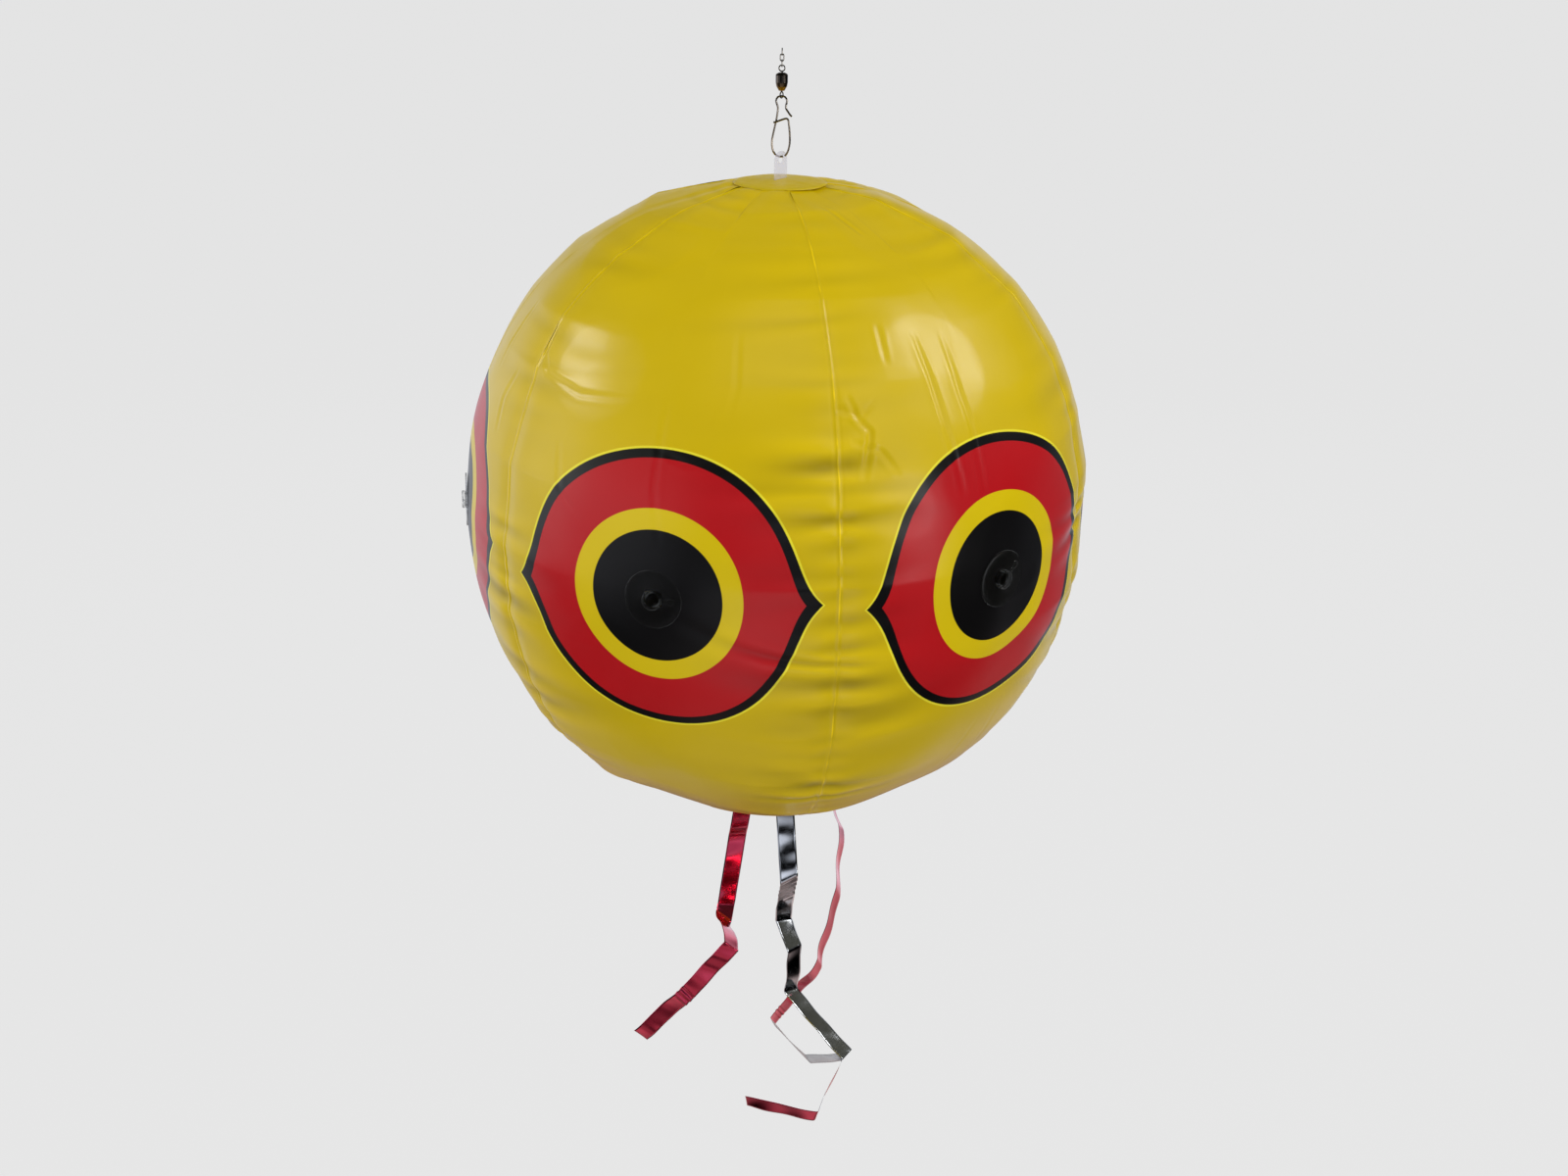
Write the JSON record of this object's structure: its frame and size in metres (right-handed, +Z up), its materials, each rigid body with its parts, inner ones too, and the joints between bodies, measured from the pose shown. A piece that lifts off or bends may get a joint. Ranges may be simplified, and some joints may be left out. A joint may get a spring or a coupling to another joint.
{
  "type": "bird scare balloon",
  "caption": "Inflated yellow vinyl ball with a predator eye on each panel, hung by a chain, swivel and snap, trailing kinked metallised streamers to keep birds away.",
  "frame": {"origin": "inner top of the top chain link, where a cord or hook goes through", "axes": "+Z up, against the pull of the hanging balloon; -Y towards the viewer, with one eye a little left of it; +X to the right"},
  "size_m": [0.4012, 0.3998, 0.8247],
  "materials": {
    "printed_vinyl": "semi-gloss PVC film, yellow with the eye printed in red, yellow and black",
    "clear_vinyl": "clear moulded or sheet PVC",
    "dark_nickel": "polished black nickel",
    "red_foil": "metallised mirror film, red lacquer on one face",
    "silver_foil": "metallised mirror film"
  },
  "bodies": {
    "top_link": {"chain_link_top": "dark_nickel"},
    "mid_link": {"chain_link_mid": "dark_nickel"},
    "low_link": {"chain_link_low": "dark_nickel"},
    "upper_eye": {"swivel_eye_upper": "dark_nickel"},
    "barrel": {"swivel_barrel": "dark_nickel"},
    "lower_eye": {"swivel_eye_lower": "dark_nickel"},
    "snap": {"snap_frame": "dark_nickel"},
    "gate": {"snap_gate": "dark_nickel"},
    "balloon": {"hanging_tab": "clear_vinyl", "top_cap": "clear_vinyl", "bottom_cap": "clear_vinyl", "panel_1": "printed_vinyl", "panel_2": "printed_vinyl", "panel_3": "printed_vinyl", "panel_4": "printed_vinyl", "panel_5": "printed_vinyl", "panel_6": "printed_vinyl", "valve_body_1": "clear_vinyl", "valve_body_2": "clear_vinyl", "valve_body_3": "clear_vinyl", "valve_body_4": "clear_vinyl", "valve_body_5": "clear_vinyl", "valve_body_6": "clear_vinyl", "streamer_tape_left": "clear_vinyl", "streamer_tape_middle": "clear_vinyl", "streamer_tape_right": "clear_vinyl"},
    "plug_1": {"valve_plug_1": "clear_vinyl"},
    "plug_2": {"valve_plug_2": "clear_vinyl"},
    "plug_3": {"valve_plug_3": "clear_vinyl"},
    "plug_4": {"valve_plug_4": "clear_vinyl"},
    "plug_5": {"valve_plug_5": "clear_vinyl"},
    "plug_6": {"valve_plug_6": "clear_vinyl"},
    "left_streamer": {"streamer_left": "red_foil"},
    "middle_streamer": {"streamer_middle": "silver_foil"},
    "right_streamer": {"streamer_right": "red_foil"}
  },
  "joints": [
    {"name": "mid_link_swing", "type": "hinge", "parent": "top_link", "child": "mid_link", "pos_m": [0, 0, -0.00385], "axis": [0, 1, 0], "range_deg": [-60, 60]},
    {"name": "low_link_swing", "type": "hinge", "parent": "mid_link", "child": "low_link", "pos_m": [0, 0, -0.00715], "axis": [1, 0, 0], "range_deg": [-60, 60]},
    {"name": "swivel_swing", "type": "hinge", "parent": "low_link", "child": "upper_eye", "pos_m": [0, 0, -0.01045], "axis": [0, 1, 0], "range_deg": [-60, 60]},
    {"name": "barrel_spin", "type": "hinge", "parent": "upper_eye", "child": "barrel", "pos_m": [0, 0, -0.0139], "axis": [0, 0, 1], "continuous": true},
    {"name": "snap_spin", "type": "hinge", "parent": "barrel", "child": "lower_eye", "pos_m": [0, 0, -0.0245], "axis": [0, 0, 1], "continuous": true},
    {"name": "snap_swing", "type": "hinge", "parent": "lower_eye", "child": "snap", "pos_m": [0, 0, -0.0289], "axis": [0.5, 0.866, 0], "range_deg": [-45, 45]},
    {"name": "gate_open", "type": "hinge", "parent": "snap", "child": "gate", "pos_m": [0.00248, 0, -0.06366], "axis": [0, 1, 0], "range_deg": [0, 25], "stiffness_Nm_per_rad": 0.02},
    {"name": "balloon_swing", "type": "hinge", "parent": "snap", "child": "balloon", "pos_m": [0, 0, -0.0641], "axis": [1, 0, 0], "range_deg": [-60, 60]},
    {"name": "plug_1_pull", "type": "slide", "parent": "balloon", "child": "plug_1", "axis": [-0.3354, -0.9418, 0.0226], "range_m": [0, 0.01]},
    {"name": "plug_2_pull", "type": "slide", "parent": "balloon", "child": "plug_2", "axis": [0.6479, -0.7613, 0.0226], "range_m": [0, 0.01]},
    {"name": "plug_3_pull", "type": "slide", "parent": "balloon", "child": "plug_3", "axis": [0.9833, 0.1805, 0.0226], "range_m": [0, 0.01]},
    {"name": "plug_4_pull", "type": "slide", "parent": "balloon", "child": "plug_4", "axis": [0.3354, 0.9418, 0.0226], "range_m": [0, 0.01]},
    {"name": "plug_5_pull", "type": "slide", "parent": "balloon", "child": "plug_5", "axis": [-0.6479, 0.7613, 0.0226], "range_m": [0, 0.01]},
    {"name": "plug_6_pull", "type": "slide", "parent": "balloon", "child": "plug_6", "axis": [-0.9833, -0.1805, 0.0226], "range_m": [0, 0.01]},
    {"name": "left_streamer_swing", "type": "hinge", "parent": "balloon", "child": "left_streamer", "pos_m": [-0.016, 0.004, -0.49148], "axis": [1, 0, 0], "range_deg": [-45, 45]},
    {"name": "middle_streamer_swing", "type": "hinge", "parent": "balloon", "child": "middle_streamer", "pos_m": [0.008, -0.02, -0.49094], "axis": [1, 0, 0], "range_deg": [-45, 2]},
    {"name": "right_streamer_swing", "type": "hinge", "parent": "balloon", "child": "right_streamer", "pos_m": [0.033, 0.014, -0.4901], "axis": [0, 1, 0], "range_deg": [-40, 10]}
  ]
}
